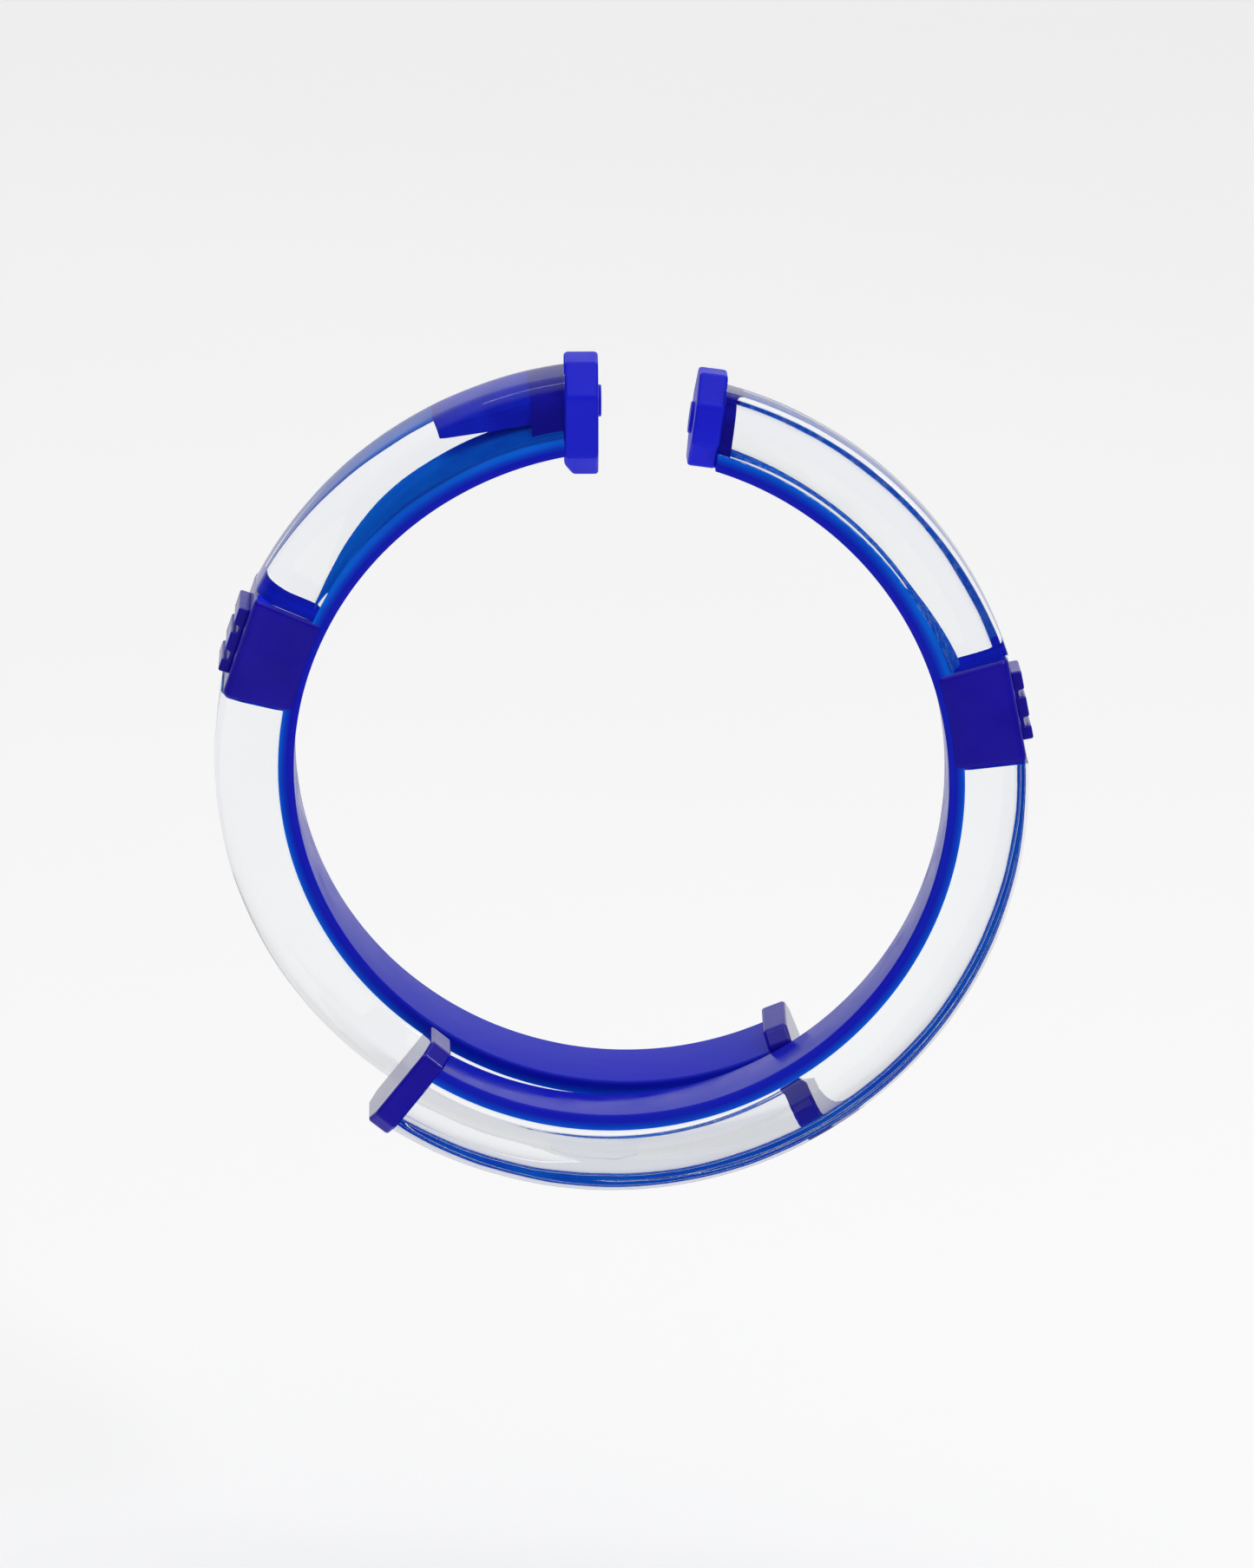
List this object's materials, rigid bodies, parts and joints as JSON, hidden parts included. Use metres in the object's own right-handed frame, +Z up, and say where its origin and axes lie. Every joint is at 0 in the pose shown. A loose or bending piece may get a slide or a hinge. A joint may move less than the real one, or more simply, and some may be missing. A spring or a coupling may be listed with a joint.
{
  "type": "open bangle",
  "caption": "Open round bangle of two overlapping clear half hoops lined with blue bands, with octagonal plates at the gap and tails, flat sleeves and a sprung opening",
  "frame": {"origin": "the middle of the gap between the two top plates, on the axis of the bar that the bangle hangs on", "axes": "+Z up towards the open gap, +X towards the right half, +Y along the bar and through the ring, from the front to the back"},
  "size_m": [0.0768, 0.0192, 0.079],
  "materials": {
    "clear": "polished clear cast resin, faint ripples and fine scratches",
    "band_blue": "smooth ultramarine plastic, bonded inside the clear hoop",
    "blue": "satin ultramarine plastic with polished edges"
  },
  "bodies": {
    "right_half": {"right_upper_body": "clear", "right_lower_body": "clear", "right_band": "band_blue", "right_collar": "blue", "right_top_plate": "blue", "right_gap_stud": "blue", "right_tail_plate": "blue", "right_sleeve": "blue", "right_badge": "blue", "bond_pad": "clear"},
    "left_half": {"left_upper_body": "clear", "left_lower_body": "clear", "left_band": "band_blue", "left_collar": "blue", "left_wedge": "blue", "left_top_plate": "blue", "left_gap_stud": "blue", "left_tail_plate": "blue", "left_sleeve": "blue", "left_badge": "blue"}
  },
  "joints": [
    {"name": "spring_opening", "type": "hinge", "parent": "right_half", "child": "left_half", "pos_m": [0, 0, -0.0705], "axis": [0, -1, 0], "range_deg": [0, 8], "stiffness_Nm_per_rad": 0.35}
  ]
}
